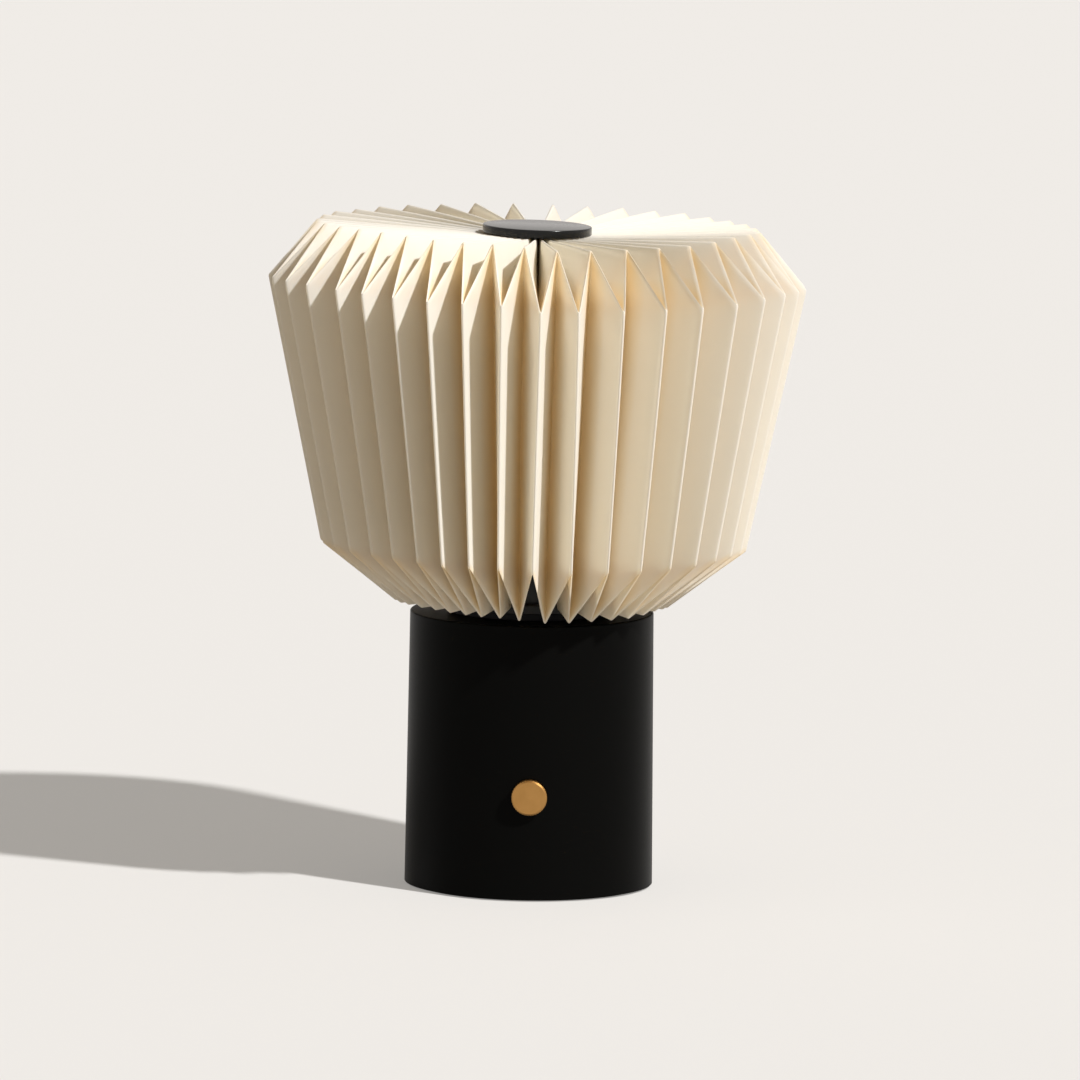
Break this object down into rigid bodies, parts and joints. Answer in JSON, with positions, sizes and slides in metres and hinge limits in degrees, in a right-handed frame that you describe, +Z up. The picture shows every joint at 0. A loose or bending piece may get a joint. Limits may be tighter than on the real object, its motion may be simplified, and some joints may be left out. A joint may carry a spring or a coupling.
{
  "type": "table lamp",
  "caption": "Small table lamp with a drum-shaped shade of folded paper that lifts off a stem, on a black round weighted base with a brass push dimmer.",
  "frame": {"origin": "middle of the base, on the table surface", "axes": "+Z up along the stem, -Y towards the dimmer knob at the front, +X to the right seen from the front"},
  "size_m": [0.2218, 0.221, 0.2713],
  "materials": {
    "black_paint": "satin black powder coat",
    "black_plastic": "fine matt moulded texture",
    "brass": "satin turned face, bright chamfer",
    "folded_paper": "uncoated warm ivory card, folded",
    "paper_tape": "thin white gummed tape",
    "opal": "opal white diffuser, soft satin",
    "rubber": "matt black rubber",
    "iron": "as cast, turned faces",
    "zinc_steel": "zinc plated",
    "nickel": "nickel plated",
    "aluminium": "natural machined",
    "cell_wrap": "heat shrink film",
    "board_green": "solder resist over laminate",
    "led_white": "white solder resist on aluminium core",
    "phosphor": "yellow phosphor under clear resin",
    "clear_plastic": "clear light guide, frosted end",
    "nylon": "natural nylon"
  },
  "bodies": {
    "base": {"base_shell": "black_paint", "bottom_plate": "black_paint", "foot_ring": "rubber", "plate_screws": "zinc_steel", "ballast": "iron", "chassis": "black_plastic", "chassis_screws": "zinc_steel", "battery_cell_1": "cell_wrap", "battery_cell_2": "cell_wrap", "battery_cell_3": "cell_wrap", "cell_clamp": "black_plastic", "control_board": "board_green", "board_screws": "zinc_steel", "board_plugs": "nylon", "driver_chip": "black_plastic", "usb_socket": "nickel", "usb_bezel": "black_plastic", "light_pipe": "clear_plastic", "dimmer_body": "zinc_steel", "dimmer_nut": "nickel", "stem": "black_paint", "stem_washer": "zinc_steel", "stem_nut": "zinc_steel", "stem_collar": "black_paint", "collar_grub": "zinc_steel", "stem_magnet": "nickel", "heat_spreader": "aluminium", "led_board": "led_white", "led_chips": "phosphor", "diffuser": "opal", "diffuser_ring": "black_plastic", "ring_screws": "zinc_steel", "lead_grommet": "rubber", "light_lead": "rubber", "battery_lead": "rubber", "dimmer_lead": "rubber"},
    "dimmer_rotor": {"dimmer_rotor": "nylon"},
    "dimmer_knob": {"dimmer_knob": "brass", "dimmer_shaft": "brass"},
    "hub_washer": {"hub_washer": "nylon"},
    "shade": {"shade_hub": "black_plastic", "shade_right": "folded_paper", "shade_back": "folded_paper", "shade_left": "folded_paper", "shade_front": "folded_paper", "seam_tape": "paper_tape"},
    "cap": {"cap": "black_paint", "cap_magnet": "nickel"}
  },
  "joints": [
    {"name": "knob_turn", "type": "hinge", "parent": "base", "child": "dimmer_rotor", "pos_m": [0, -0.03, 0.043], "axis": [0, -1, 0], "continuous": true},
    {"name": "knob_press", "type": "slide", "parent": "dimmer_rotor", "child": "dimmer_knob", "axis": [0, 1, 0], "range_m": [0, 0.0008], "stiffness_N_per_m": 3000, "springref_m": -0.0004},
    {"name": "shade_turn", "type": "hinge", "parent": "base", "child": "hub_washer", "pos_m": [0, 0, 0.2389], "axis": [0, 0, 1], "continuous": true},
    {"name": "shade_lift", "type": "slide", "parent": "hub_washer", "child": "shade", "axis": [0, 0, 1], "range_m": [0, 0.16]},
    {"name": "cap_lift", "type": "slide", "parent": "shade", "child": "cap", "axis": [0, 0, 1], "range_m": [0, 0.03]}
  ]
}
